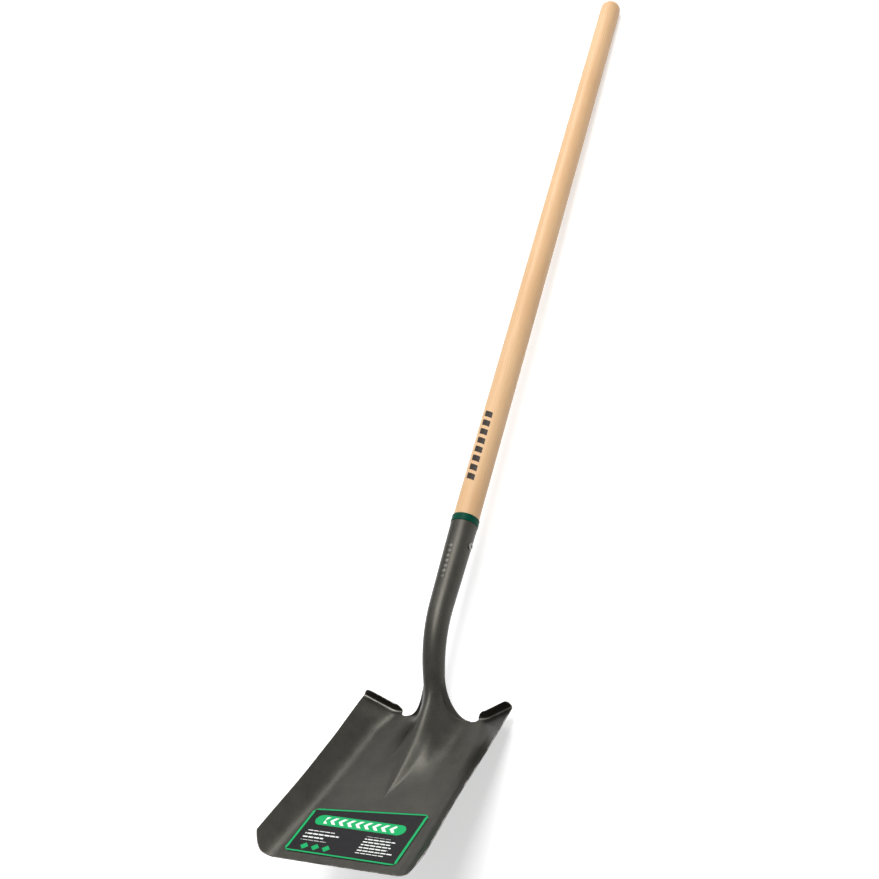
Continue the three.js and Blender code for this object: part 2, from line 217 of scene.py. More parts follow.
def wall_section(along):
    foot = mix(WALL_FOOT_BACK, WALL_FOOT_MOUTH, along / BLADE_LENGTH)
    foot -= (WALL_FOOT_BACK - WALL_FOOT_SHOULDER) * (1 - smooth(along / WALL_FOOT_FADE))
    flare = smooth((along - BLADE_LENGTH + FLARE_LENGTH) / FLARE_LENGTH)
    wide = mix(SIDE_WIDTH, MOUTH_WIDTH, flare) / 2 - foot
    high = mix(EDGE_RISE_SHOULDER, EDGE_RISE_MOUTH, smooth(along / EDGE_RISE_FADE)) - pan_rise(along)
    slope = math.atan2(high, wide)
    tangent = WALL_FOOT_RADIUS * math.tan(slope / 2)
    flat = foot - tangent - NOTCH_X
    bend = WALL_FOOT_RADIUS * slope
    return slope, flat, bend, flat + bend + math.hypot(wide, high) - tangent


def wall_point(share, along):
    slope, flat, bend, total = wall_section(along)
    run = share * total
    turn = min(max(run - flat, 0.0) / WALL_FOOT_RADIUS, slope)
    beyond = max(run - flat - bend, 0.0)
    x = NOTCH_X + min(run, flat) + WALL_FOOT_RADIUS * math.sin(turn) + beyond * math.cos(turn)
    rise = pan_rise(along) + WALL_FOOT_RADIUS * (1 - math.cos(turn)) + beyond * math.sin(turn)
    return blade_place(x, along, rise), turn


def crest_rise(along):
    return (RIDGE_RISE / RIDGE_REACH) * soft_ramp(RIDGE_REACH - along, RIDGE_SOFT)


def keel_rise(x, along):
    spread = KEEL_HALF * max(1 - (along / KEEL_TIP) ** KEEL_CLOSING, 0.0)
    keel = KEEL_RISE * smooth((KEEL_TIP - along) / KEEL_FADE)
    crease = CREASE_HEIGHT * smooth((CREASE_TIP - along) / CREASE_FADE)
    return (keel + crease) * (1 - smooth(x / math.hypot(spread, CREASE_HALF)))


def ridge_section(along):
    height = crest_rise(along)
    radii = RADII_SHARE * RIDGE_HALF
    spare = RIDGE_HALF**2 + height**2 - 2 * height * radii
    if spare < 0:
        radii += spare / (2 * height)
    flank = math.sqrt(max(spare, 0.0))
    turn = math.atan2(height - radii, RIDGE_HALF) + math.atan2(radii, flank)
    spread = smooth((along - CREST_SPREAD_START) / (CREST_SPREAD_END - CREST_SPREAD_START))
    crest_r = mix(CREST_SHARE, CREST_SHARE_AHEAD, spread) * radii
    return height, crest_r, radii - crest_r, flank, turn


def strap_point(column, along):
    height, crest_r, foot_r, flank, turn = ridge_section(along)
    share = min(column / ARCH, 1.0)
    run = ((crest_r + foot_r) * turn + flank) * mix(share**2, share, EVEN_SHARE)
    crest = min(run / crest_r, turn)
    down = min(max(run - crest_r * turn, 0.0), flank)
    left = turn - max(run - crest_r * turn - flank, 0.0) / foot_r
    x = crest_r * math.sin(crest) + down * math.cos(turn) + foot_r * (math.sin(turn) - math.sin(left))
    x += (NOTCH_X - RIDGE_HALF) * max(column - ARCH, 0.0) / TAIL
    fall = crest_r * (1 - math.cos(crest)) + down * math.sin(turn)
    fall += foot_r * (math.cos(left) - math.cos(turn))
    above = height - fall + keel_rise(x, along)
    lean = math.tan(RIDGE_LEAN) * crest_rise(along) / RIDGE_RISE
    return blade_place(x, along + lean * above, pan_rise(along) + above)


NECK_LENGTH = SOCKET_STRAIGHT + BEND_RADIUS * BEND_ANGLE


def neck_frame(distance):
    angle = max(distance - SOCKET_STRAIGHT, 0.0) / BEND_RADIUS
    y = -min(distance, SOCKET_STRAIGHT) - BEND_RADIUS * math.sin(angle)
    centre = np.array([0.0, y, BEND_RADIUS * (math.cos(angle) - 1)])
    forward = np.array([0.0, -math.sin(angle), math.cos(angle)])
    return centre, forward, mix(RIM_RADIUS, NECK_RADIUS, distance / NECK_LENGTH)


def tube_point(column, distance):
    centre, forward, radius = neck_frame(distance)
    opened = max(distance - NECK_LENGTH + THROAT_LENGTH, 0.0) / THROAT_LENGTH
    angle = (math.pi - SEAM_GAP / 2 / radius - THROAT_ANGLE * opened**2) * column / STRAP
    return centre + forward * radius * math.cos(angle) + np.array([radius * math.sin(angle), 0.0, 0.0])


def heel_point(column, share):
    start, end = tube_point(column, NECK_LENGTH), strap_point(column, NOTCH_DEPTH)
    reach = np.linalg.norm(end - start)
    leaving = unit(start - tube_point(column, NECK_LENGTH - SHEET)) * reach
    forwards = unit(strap_point(column, NOTCH_DEPTH + SHEET) - end)
    sideways = unit(end - strap_point(column - 1, NOTCH_DEPTH)) if column else forwards
    turned = smooth((column / STRAP - CREST_SHARE) / (1 - CREST_SHARE))
    arriving = unit(mix(forwards, sideways, turned)) * reach
    square, cube = share**2, share**3
    return (
        start * (2 * cube - 3 * square + 1)
        + leaving * (cube - 2 * square + share)
        + end * (3 * square - 2 * cube)
        + arriving * (cube - square)
    )


MIRROR = np.array([-1.0, 1.0, 1.0])


def mirrored(point):
    place, direction = point
    return place * MIRROR, direction


def strap_row(point_at, direction=None):
    half = [(point_at(column), direction) for column in range(STRAP + 1)]
    return [mirrored(p) for p in reversed(half[1:])] + half


def strap_direction(along):
    return RISE if along > KEEL_TIP - KEEL_FADE else None


ridge_along = [mix(NOTCH_DEPTH, KEEL_TIP, s) for s in count_up(RIDGE_ROWS)]
crease_along = [mix(KEEL_TIP, BLADE_LENGTH - FLAT_ZONE, s) for s in count_up(CREASE_ROWS)]
pan_along = ridge_along + crease_along[1:]
SHOULDER_RUN = wall_section(STEP_LINE)[3]
NOTCH_SHARE = (NOTCH_OUTER - NOTCH_X) / SHOULDER_RUN
wall_shares = [s * NOTCH_SHARE for s in count_up(NOTCH_COLS)]
wall_shares += [mix(NOTCH_SHARE, 1, (s + smooth(s)) / 2) for s in count_up(WALL_COLS)[1:]]


def mouth_end(share):
    total = wall_section(BLADE_LENGTH)[3]
    flat = CORNER_START - NOTCH_X
    beyond = max(share * total - flat, 0.0) / (total - flat)
    return BLADE_LENGTH - CORNER_LENGTH * beyond**CORNER_POWER


def mouth_along(row, share):
    return mix(BLADE_LENGTH - FLAT_ZONE, mouth_end(share), row)


def shoulder_start(share):
    across = min(share / NOTCH_SHARE, 1.0)
    return STEP_LINE + (NOTCH_DEPTH - STEP_LINE) * math.sqrt(1 - across**2)


def strap_patch():
    rows = [strap_row(lambda c, s=s: tube_point(c, s * SOCKET_STRAIGHT)) for s in count_up(SOCKET_ROWS)]
    for share in count_up(BEND_ROWS)[1:]:
        distance = mix(SOCKET_STRAIGHT, NECK_LENGTH, share)
        rows.append(strap_row(lambda c, d=distance: tube_point(c, d)))
    for share in count_up(HEEL_ROWS)[1:]:
        rows.append(strap_row(lambda c, s=share: heel_point(c, s)))
    for along in pan_along[1:]:
        rows.append(strap_row(lambda c, a=along: strap_point(c, a), strap_direction(along)))
    for row in count_up(MOUTH_ROWS)[1:]:
        rows.append(strap_row(lambda c, a=mouth_along(row, 0): strap_point(c, a), RISE))
    return rows


def side_patch():
    rows = [[(wall_point(s, shoulder_start(s))[0], None) for s in wall_shares]]
    rows += [[(wall_point(s, along)[0], None) for s in wall_shares] for along in pan_along[1:]]
    for row in count_up(MOUTH_ROWS)[1:]:
        rows.append([(wall_point(s, mouth_along(row, s))[0], None) for s in wall_shares])
    return rows


def step_rise(share):
    inner = max(STEP_INNER - (share - NOTCH_SHARE) * SHOULDER_RUN, 0.0)
    outer = max(STEP_OUTER - (1 - share) * SHOULDER_RUN, 0.0)
    return (
        STEP_HEIGHT
        - (STEP_INNER - math.sqrt(STEP_INNER**2 - inner**2))
        - (STEP_OUTER - math.sqrt(STEP_OUTER**2 - outer**2))
    )


def step_patch():
    shares = wall_shares[NOTCH_COLS:]

    def point_at(share, turn, height):
        base, lean = wall_point(share, STEP_LINE)
        up = RISE * math.cos(lean) + np.array([-math.sin(lean), 0.0, 0.0])
        along = -FOLD_RADIUS * math.sin(turn)
        return base + ALONG * along + up * (FOLD_RADIUS * (1 - math.cos(turn)) + height), None

    rows = []
    for step in reversed(count_up(FLANGE_ROWS)[1:]):
        rows.append([point_at(s, math.pi / 2, step * (step_rise(s) - FOLD_RADIUS)) for s in shares])
    for step in reversed(count_up(FOLD_ROWS)):
        rows.append([point_at(s, step * math.pi / 2, 0.0) for s in shares])
    return rows


# Meshes

NORMAL_WEIGHT = 80
RIM_ROUND = 0.45
RIM_STEPS = 4
RIM_WEAR = 0.6
MERGES_PER_MM = 1000
TINY_RADIUS = 1e-9


def new_object(name, points, faces, attributes=None):
    """A smooth-shaded mesh from points in the tool's axes.

    Its "tool" attribute keeps those places, in metres.
    """
    mesh = bpy.data.meshes.new(name)
    mesh.from_pydata([tuple(LAY @ Vector(p)) for p in points], [], [tuple(f) for f in faces])
    mesh.validate()
    mesh.shade_smooth()
    kept = mesh.attributes.new("tool", "FLOAT_VECTOR", "POINT")
    kept.data.foreach_set("vector", (np.array(points) * METRE).astype(np.float32).ravel())
    for key, values in (attributes or {}).items():
        layer = mesh.attributes.new(key, "FLOAT", "POINT")
        layer.data.foreach_set("value", np.array(values, np.float32))
    obj = bpy.data.objects.new(name, mesh)
    bpy.context.scene.collection.objects.link(obj)
    return obj


def weigh_normals(obj):
    modifier = obj.modifiers.new("even_shading", "WEIGHTED_NORMAL")
    modifier.mode = "FACE_AREA"
    modifier.weight = NORMAL_WEIGHT


def sheet_object(name, patches, thickness):
    """Joins patches of surface points, gives them their thickness and rounds the free edges."""
    places, directions, known, front = [], [], {}, []

    def index(point):
        place, direction = point
        key = tuple(np.round(place * MERGES_PER_MM).astype(int))
        if key not in known:
            known[key] = len(places)
            places.append(place)
            directions.append(direction)
        return known[key]

    for rows in patches:
        grid = [[index(p) for p in row] for row in rows]
        for upper, lower in zip(grid, grid[1:]):
            for c in range(len(upper) - 1):
                corners = [upper[c], lower[c], lower[c + 1], upper[c + 1]]
                face = [v for i, v in enumerate(corners) if v != corners[i - 1]]
                if len(face) > 2:
                    front.append(face)
    places = np.array(places)
    normals = np.zeros_like(places)
    for face in front:
        across = np.cross(places[face[2]] - places[face[0]], places[face[-1]] - places[face[1]])
        for corner in face:
            normals[corner] += across
    normals /= np.linalg.norm(normals, axis=1)[:, None]
    laid = np.array([n if d is None else d for n, d in zip(normals, directions)])
    back = places - laid * thickness
    count = len(places)

    edges = {(a, b) for face in front for a, b in zip(face, face[1:] + face[:1])}
    free = [(a, b) for a, b in sorted(edges) if (b, a) not in edges]
    outward = {}
    for a, b in free:
        for corner in (a, b):
            side = np.cross(places[b] - places[a], normals[corner])
            outward[corner] = outward.get(corner, 0) + unit(side)
    points = [*places, *back]
    rim = [0.0] * (2 * count)
    ring = {}
    for corner, side in outward.items():
        side = unit(side)
        half = (places[corner] - back[corner]) / 2
        middle = places[corner] - half
        column = []
        for step in range(RIM_STEPS + 1):
            turn = math.pi * step / RIM_STEPS
            column.append(middle + half * math.cos(turn) + side * RIM_ROUND * (math.sin(turn) - 1))
        points[corner], points[corner + count] = column[0], column[-1]
        rim[corner] = rim[corner + count] = RIM_WEAR
        inner = list(range(len(points), len(points) + RIM_STEPS - 1))
        points += column[1:-1]
        rim += [1.0] * (RIM_STEPS - 1)
        ring[corner] = [corner, *inner, corner + count]
    faces = [list(face) for face in front]
    faces += [[v + count for v in reversed(face)] for face in front]
    for a, b in free:
        for step in range(RIM_STEPS):
            faces.append([ring[b][step], ring[a][step], ring[a][step + 1], ring[b][step + 1]])
    return new_object(name, points, faces, {"rim": rim})


def turned_object(name, outline, sides, axis="Y", centre=(0, 0, 0)):
    """A body turned round an axis through the centre, from a closed outline of (radius, height) pairs."""
    points, faces, rows = [], [], []
    for radius, height in outline:
        if radius < TINY_RADIUS:
            rows.append([len(points)])
            points.append((0.0, height, 0.0))
            continue
        rows.append(list(range(len(points), len(points) + sides)))
        for side in range(sides):
            angle = 2 * math.pi * side / sides
            points.append((radius * math.sin(angle), height, radius * math.cos(angle)))
    for low, high in zip(rows, rows[1:]):
        for side in range(sides):
            after = (side + 1) % sides
            face = [low[side % len(low)], low[after % len(low)]]
            face += [high[after % len(high)], high[side % len(high)]]
            face = [v for i, v in enumerate(face) if v != face[i - 1]]
            if len(face) > 2:
                faces.append(face)
    if axis == "X":
        points = [(h, -x, z) for x, h, z in points]
    points = [(x + centre[0], y + centre[1], z + centre[2]) for x, y, z in points]
    return new_object(name, points, faces)


def arc(centre_r, centre_h, radius_r, radius_h, start, end, steps):
    """Points of an elliptic arc in (radius, height), angles in degrees from the outward direction."""
    turns = [math.radians(mix(start, end, s)) for s in count_up(steps)]
    return [(max(centre_r + radius_r * math.cos(t), 0.0), centre_h + radius_h * math.sin(t)) for t in turns]


# Materials


class Nodes:
    """Short hand for building the node tree of a material or the world."""

    def __init__(self, owner):
        owner.use_nodes = True
        self.owner = owner
        self.tree = owner.node_tree

    def put(self, socket, value):
        if isinstance(value, bpy.types.NodeSocket):
            self.tree.links.new(value, socket)
        elif hasattr(socket.default_value, "__len__"):
            socket.default_value = value if len(value) == len(socket.default_value) else (*value, 1.0)
        else:
            socket.default_value = value

    def add(self, kind, inputs=None, output=0, **settings):
        node = self.tree.nodes.new(kind)
        for key, value in settings.items():
            setattr(node, key, value)
        for key, value in (inputs or {}).items():
            self.put(node.inputs[key], value)
        return node.outputs[output]

    def math(self, operation, a, b=0.0):
        return self.add("ShaderNodeMath", {0: a, 1: b}, operation=operation)

    def plus(self, a, b):
        return self.math("ADD", a, b)

    def minus(self, a, b):
        return self.math("SUBTRACT", a, b)

    def times(self, a, b):
        return self.math("MULTIPLY", a, b)

    def size(self, value):
        return self.math("ABSOLUTE", value)

    def square(self, value):
        return self.math("POWER", value, 2.0)

    def cycle(self, value, start, pitch):
        """Share of the way through each repeat of a pattern."""
        return self.math("FRACT", self.math("DIVIDE", self.minus(value, start), pitch))

    def vector(self, operation, a, b):
        return self.add("ShaderNodeVectorMath", {0: a, 1: b}, operation=operation)

    def parts(self, vector):
        return self.add("ShaderNodeSeparateXYZ", {0: vector}).node.outputs

    def attribute(self, name, output="Vector"):
        return self.add("ShaderNodeAttribute", output=output, attribute_name=name)

    def noise(self, place, scale, detail=3.0, roughness=0.55, output="Fac"):
        inputs = {"Vector": place, "Scale": scale, "Detail": detail, "Roughness": roughness}
        return self.add("ShaderNodeTexNoise", inputs, output=output)

    def stretched(self, place, scales, detail, roughness, output="Fac"):
        return self.noise(self.vector("MULTIPLY", place, scales), 1.0, detail, roughness, output)

    def ramp(self, value, low, high, to_low=0.0, to_high=1.0):
        inputs = {"Value": value, "From Min": low, "From Max": high, "To Min": to_low, "To Max": to_high}
        return self.add("ShaderNodeMapRange", inputs, clamp=True, interpolation_type="SMOOTHSTEP")

    def band(self, value, low, high, soft):
        """1 between low and high, falling to 0 at both over the soft width."""
        return self.times(self.ramp(value, low, low + soft), self.ramp(value, high, high - soft))

    def within(self, value, low, high):
        return self.times(self.math("GREATER_THAN", value, low), self.math("LESS_THAN", value, high))

    def blend(self, share, a, b):
        node = self.tree.nodes.new("ShaderNodeMix")
        node.data_type = "RGBA"
        named = {"Factor_Float": share, "A_Color": a, "B_Color": b}
        for socket in node.inputs:
            if socket.identifier in named:
                self.put(socket, named[socket.identifier])
        return next(socket for socket in node.outputs if socket.identifier == "Result_Color")

    def bump(self, height, strength, distance, normal=None):
        inputs = {"Height": height, "Strength": strength, "Distance": distance}
        if normal is not None:
            inputs["Normal"] = normal
        return self.add("ShaderNodeBump", inputs)

    def finish(self, **sockets):
        shader = self.tree.nodes["Principled BSDF"]
        for key, value in sockets.items():
            self.put(shader.inputs[key.replace("_", " ")], value)
        return self.owner

    def seen(self):
        """1 for what the camera sees, directly, in a reflection or through glass, and 0 for light cast."""
        path = self.add("ShaderNodeLightPath").node.outputs
        through = self.math("MAXIMUM", path["Is Glossy Ray"], path["Is Transmission Ray"])
        return self.math("MAXIMUM", path["Is Camera Ray"], through)


def material_nodes(name):
    return Nodes(bpy.data.materials.new(name))


# Colours

STEEL_DARK = (0.042, 0.0405, 0.035)
STEEL_PALE = (0.053, 0.051, 0.044)
STEEL_GRAIN = (0.090, 0.085, 0.075)
STEEL_SPECK = (0.028, 0.027, 0.023)
STEEL_WORN = (0.34, 0.32, 0.30)
STEEL_MARK = (0.16, 0.155, 0.14)
# Painted highlight: the pale line along the fold in front of each step
STEEL_FOLD_HIGHLIGHT = (0.17, 0.162, 0.147)
WOOD_WARM = (0.62, 0.395, 0.215)
WOOD_PALE = (0.68, 0.455, 0.262)
WOOD_RING = (0.56, 0.33, 0.155)
WOOD_FIBRE = (0.53, 0.31, 0.145)
WOOD_PORE = (0.34, 0.19, 0.09)
INK = (0.016, 0.011, 0.008)
COLLAR_DEEP = (0.0004, 0.048, 0.029)
COLLAR_GREEN = (0.0010, 0.062, 0.038)
RIVET_DULL = (0.17, 0.165, 0.155)
RIVET_BRIGHT = (0.28, 0.27, 0.255)
RIVET_MIDDLE = (0.055, 0.053, 0.048)
FILM_BLACK = (0.0105, 0.0095, 0.0110)
FILM_GREEN = (0.008, 0.36, 0.115)
FILM_PALE = (0.78, 0.80, 0.78)
FILM_SCUFF = (0.12, 0.115, 0.11)
FLOOR_GREY = (0.80, 0.80, 0.80)
WHITE = (1.0, 1.0, 1.0)

# Marks on the socket, in metres: a row of small raised lozenges
MARK_LOW = -0.094
MARK_HIGH = -0.038
MARK_PITCH = 0.008
MARK_HALF_LENGTH = 0.0034
MARK_HALF_WIDTH = 0.0044
MARK_TURN = 0.05

# The painted highlight along the fold in front of each step, in metres
FOLD_FROM_CENTRE = 0.059
FOLD_AHEAD = 0.0036
FOLD_SOFT_BEHIND = 0.001
FOLD_SOFT_AHEAD = 0.0012
FOLD_SOFT_END = 0.004

# The row of bars on the pole, in metres
PRINT_LOW = 0.066
PRINT_HIGH = 0.190
PRINT_PITCH = 0.0155
PRINT_HALF = 0.0072
PRINT_SOFT = 0.0006
PRINT_SLANT = 0.35
PRINT_TURN = 0.05

# The rivet's dark middle, in metres
RIVET_CORE = 0.0024
RIVET_CORE_SOFT = 0.0004


def socket_marks(n, place):
    """Share of a row of small raised lozenges along the front of the socket."""
    x, y, z = n.parts(place)
    across = n.times(n.plus(n.math("ARCTAN2", x, z), MARK_TURN), RIM_RADIUS * METRE)
    step = n.minus(n.cycle(y, MARK_LOW, MARK_PITCH), 0.5)
    reach = n.plus(
        n.times(n.size(step), MARK_PITCH / MARK_HALF_LENGTH),
        n.math("DIVIDE", n.size(across), MARK_HALF_WIDTH),
    )
    return n.times(n.ramp(reach, 1.0, 0.7), n.within(y, MARK_LOW, MARK_HIGH))


def painted_fold_highlight(n, place):
    """Share of the painted highlight along the fold in front of each step."""
    local = n.vector("SUBTRACT", place, tuple(Vector(SHOULDER) * METRE))
    product = {"operation": "DOT_PRODUCT", "output": "Value"}
    along = n.add("ShaderNodeVectorMath", {0: local, 1: tuple(ALONG)}, **product)
    behind = n.ramp(along, -FOLD_SOFT_BEHIND, 0.0)
    ahead = n.ramp(along, FOLD_AHEAD, FOLD_AHEAD - FOLD_SOFT_AHEAD)
    outside = n.ramp(n.size(n.parts(place)["X"]), FOLD_FROM_CENTRE, FOLD_FROM_CENTRE + FOLD_SOFT_END)
    return n.times(n.times(behind, ahead), outside)


def steel_material():
    n = material_nodes("dark_steel")
    place = n.attribute("tool")
    broad = n.noise(place, 14, 2)
    patch = n.noise(place, 60, 4, 0.6)
    grain = n.noise(place, 900, 3, 0.7)
    speck = n.noise(place, 380, 2, 0.5)
    tone = n.ramp(n.plus(n.times(broad, 0.55), n.times(patch, 0.45)), 0.35, 0.66)
    base = n.blend(tone, STEEL_DARK, STEEL_PALE)
    base = n.blend(n.ramp(grain, 0.42, 0.72, 0.0, 0.35), base, STEEL_GRAIN)
    base = n.blend(n.ramp(speck, 0.62, 0.74, 0.0, 0.5), base, STEEL_SPECK)
    worn = n.times(n.ramp(n.attribute("rim", "Fac"), 0.55, 0.95), n.ramp(patch, 0.38, 0.6))
    base = n.blend(n.times(worn, 0.7), base, STEEL_WORN)
    marks = socket_marks(n, place)
    base = n.blend(n.times(marks, n.ramp(patch, 0.30, 0.60, 0.3, 0.85)), base, STEEL_MARK)
    # Painted highlight: a pale line along the fold in front of each step, lighter in patches
    fold = painted_fold_highlight(n, place)
    base = n.blend(n.times(fold, n.ramp(patch, 0.30, 0.55, 0.3, 0.9)), base, STEEL_FOLD_HIGHLIGHT)
    mottle = n.plus(n.times(patch, 0.6), n.times(grain, 0.4))
    rough = n.ramp(mottle, 0.3, 0.7, 0.36, 0.46)
    wave = n.bump(n.noise(place, 26, 2, 0.5), 0.10, 0.004)
    pits = n.bump(speck, 0.10, 0.0006, wave)
    skin = n.bump(grain, 0.12, 0.0003, pits)
    raised = n.bump(marks, 0.6, 0.0006, skin)
    return n.finish(Base_Color=base, Metallic=1.0, Roughness=rough, Normal=raised)


def wood_material():
    """Year rings round a heart beside the pole, long fibres, fine pores and the printed bars."""
    n = material_nodes("pole_wood")
    place = n.attribute("tool")
    wander = n.stretched(place, (6.0, 2.2, 6.0), 3, 0.5, "Color")
    bent = n.vector("ADD", place, n.vector("MULTIPLY", wander, (0.007, 0.0, 0.007)))
    from_heart = n.parts(n.vector("SUBTRACT", bent, (0.052, 0.0, -0.03)))
    radius = n.math("SQRT", n.plus(n.square(from_heart["X"]), n.square(from_heart["Z"])))
    ring = n.math("FRACT", n.times(radius, 300.0))
    ring = n.minus(n.ramp(ring, 0.0, 0.75), n.ramp(ring, 0.82, 1.0))
    fibre = n.stretched(bent, (900.0, 14.0, 900.0), 4, 0.65)
    cloud = n.stretched(place, (16.0, 5.0, 16.0), 3, 0.5)
    pore = n.stretched(bent, (2600.0, 60.0, 2600.0), 2, 0.5)
    base = n.blend(n.ramp(cloud, 0.34, 0.68), WOOD_WARM, WOOD_PALE)
    base = n.blend(n.times(ring, 0.34), base, WOOD_RING)
    base = n.blend(n.ramp(fibre, 0.40, 0.74, 0.0, 0.34), base, WOOD_FIBRE)
    base = n.blend(n.ramp(pore, 0.60, 0.80, 0.0, 0.30), base, WOOD_PORE)
    base = n.blend(handle_print(n, place), base, INK)
    rough = n.ramp(fibre, 0.3, 0.7, 0.36, 0.50)
    lines = n.bump(fibre, 0.18, 0.0006)
    pores = n.bump(pore, 0.10, 0.0003, lines)
    gloss = {"Specular_IOR_Level": 0.2, "Coat_Weight": 0.05, "Coat_Roughness": 0.25}
    return n.finish(Base_Color=base, Roughness=rough, Normal=pores, **gloss)


def handle_print(n, place):
    """Share of a plain row of slanted dark bars along the front of the pole."""
    x, y, z = n.parts(place)
    across = n.times(n.plus(n.math("ARCTAN2", x, z), PRINT_TURN), HANDLE_LOW * METRE)
    up = n.plus(y, n.times(across, PRINT_SLANT))
    bar = n.band(n.cycle(up, PRINT_LOW, PRINT_PITCH), 0.08, 0.76, 0.04)
    row = n.ramp(n.size(across), PRINT_HALF, PRINT_HALF - PRINT_SOFT)
    ink = n.times(n.times(bar, row), n.within(up, PRINT_LOW, PRINT_HIGH))
    return n.times(ink, n.ramp(n.noise(place, 1500, 2), 0.25, 0.45, 0.90, 1.0))


def collar_material():
    n = material_nodes("green_plastic")
    place = n.attribute("tool")
    cloud = n.noise(place, 90, 3)
    fine = n.noise(place, 1400, 2)
    base = n.blend(n.ramp(cloud, 0.35, 0.65), COLLAR_DEEP, COLLAR_GREEN)
    rough = n.ramp(fine, 0.3, 0.7, 0.30, 0.40)
    skin = n.bump(fine, 0.08, 0.0002)
    return n.finish(Base_Color=base, Roughness=rough, Specular_IOR_Level=0.06, Normal=skin)


def rivet_material():
    n = material_nodes("bright_rivet")
    place = n.attribute("tool")
    dent = n.noise(place, 420, 2)
    fine = n.noise(place, 2600, 2)
    base = n.blend(n.ramp(dent, 0.35, 0.65), RIVET_DULL, RIVET_BRIGHT)
    y, z = n.parts(place)[1:]
    radius = n.math("SQRT", n.plus(n.square(n.plus(y, RIVET_BELOW * METRE)), n.square(z)))
    core = n.ramp(radius, RIVET_CORE + RIVET_CORE_SOFT, RIVET_CORE - RIVET_CORE_SOFT)
    base = n.blend(core, base, RIVET_MIDDLE)
    rough = n.ramp(fine, 0.3, 0.7, 0.22, 0.36)
    hammered = n.bump(dent, 0.25, 0.0006)
    skin = n.bump(fine, 0.1, 0.0002, hammered)
    return n.finish(Base_Color=base, Metallic=1.0, Roughness=rough, Normal=skin)


# Label print, in metres: u across the pan, v away from the mouth

PRINT_EDGE = 0.00035
FRAME_LOW = 0.0006
FRAME_HIGH = 0.0034
FRAME_SOFT = 0.0005
BAND_CENTRE = (-0.004, 0.062)
BAND_HALF = (0.066, 0.0095)
CHEVRON_HALF = (0.052, 0.0062)
CHEVRON_CORNER = 0.001
CHEVRON_PITCH = 0.0125
CHEVRON_SLANT = -0.9
DASH_BLOCKS = (
    {"centre": (0.044, 0.028), "half": (0.028, 0.0155), "pitch": 0.0052, "seed": 3.0},
    {"centre": (-0.040, 0.032), "half": (0.030, 0.0095), "pitch": 0.0064, "seed": 8.0},
)
DASH_PITCH = 0.0085
DASH_SHIFT = 0.02
DASH_CORNER = 0.0005
LOZENGES = ((-0.058, 0.012), (-0.042, 0.012), (-0.026, 0.012))
LOZENGE_HALF = 0.0062
LOZENGE_SOFT = 0.0006


def panel(n, u, v, centre, half, corner):
    """1 inside a rounded rectangle, 0 outside."""
    across = n.minus(n.size(n.minus(u, centre[0])), half[0] - corner)
    upward = n.minus(n.size(n.minus(v, centre[1])), half[1] - corner)
    beyond = [n.square(n.math("MAXIMUM", side, 0.0)) for side in (across, upward)]
    inner = n.math("MINIMUM", n.math("MAXIMUM", across, upward), 0.0)
    gap = n.plus(n.math("SQRT", n.plus(*beyond)), inner)
    return n.ramp(gap, corner + PRINT_EDGE, corner - PRINT_EDGE)


def dashes(n, u, v, centre, half, pitch, seed):
    """Share of rows of plain dashes of uneven length."""
    rows = n.math("DIVIDE", v, pitch)
    row = n.plus(n.math("FLOOR", rows), seed)
    length = n.add("ShaderNodeTexWhiteNoise", {"W": row}, noise_dimensions="1D")
    reach = n.plus(centre[0] - half[0] * 0.1, n.times(length, half[0] * 0.95))
    line = n.band(n.math("FRACT", rows), 0.24, 0.66, 0.06)
    line = n.times(line, n.math("LESS_THAN", u, reach))
    dash = n.cycle(n.plus(u, n.times(length, DASH_SHIFT)), 0.0, DASH_PITCH)
    line = n.times(line, n.math("LESS_THAN", dash, 0.86))
    return n.times(line, panel(n, u, v, centre, half, DASH_CORNER))


def label_material():
    """Black film with a green frame, a green band with pale chevrons, dashes and three lozenges."""
    n = material_nodes("label_print")
    place = n.attribute("print")
    u, v, edge = n.parts(place)
    base = n.blend(n.band(edge, FRAME_LOW, FRAME_HIGH, FRAME_SOFT), FILM_BLACK, FILM_GREEN)
    base = n.blend(panel(n, u, v, BAND_CENTRE, BAND_HALF, BAND_HALF[1]), base, FILM_GREEN)
    arrow = n.plus(u, n.times(n.size(n.minus(v, BAND_CENTRE[1])), CHEVRON_SLANT))
    stripe = n.band(n.cycle(arrow, 0.0, CHEVRON_PITCH), 0.10, 0.58, 0.06)
    field = panel(n, u, v, BAND_CENTRE, CHEVRON_HALF, CHEVRON_CORNER)
    base = n.blend(n.times(stripe, field), base, FILM_PALE)
    for block in DASH_BLOCKS:
        base = n.blend(dashes(n, u, v, **block), base, FILM_PALE)
    for centre in LOZENGES:
        far = n.plus(n.size(n.minus(u, centre[0])), n.size(n.minus(v, centre[1])))
        base = n.blend(n.ramp(far, LOZENGE_HALF, LOZENGE_HALF - LOZENGE_SOFT), base, FILM_GREEN)
    scuff = n.noise(place, 700, 3, 0.7)
    base = n.blend(n.ramp(scuff, 0.60, 0.80, 0.0, 0.25), base, FILM_SCUFF)
    rough = n.ramp(n.noise(place, 240, 3), 0.3, 0.7, 0.40, 0.55)
    ripple = n.bump(n.noise(place, 34, 2), 0.10, 0.002)
    skin = n.bump(scuff, 0.05, 0.0001, ripple)
    return n.finish(Base_Color=base, Roughness=rough, Specular_IOR_Level=0.10, Normal=skin)


# Pieces


def dress(obj, node, material):
    weigh_normals(obj)
    obj.data.materials.append(material)
    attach(obj, "root")
    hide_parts(node)


right = [side_patch(), step_patch()]
left = [[[mirrored(p) for p in reversed(row)] for row in rows] for rows in right]
blade = sheet_object("pressed_blade", [strap_patch(), *right, *left], SHEET)
dress(blade, "blade", steel_material())

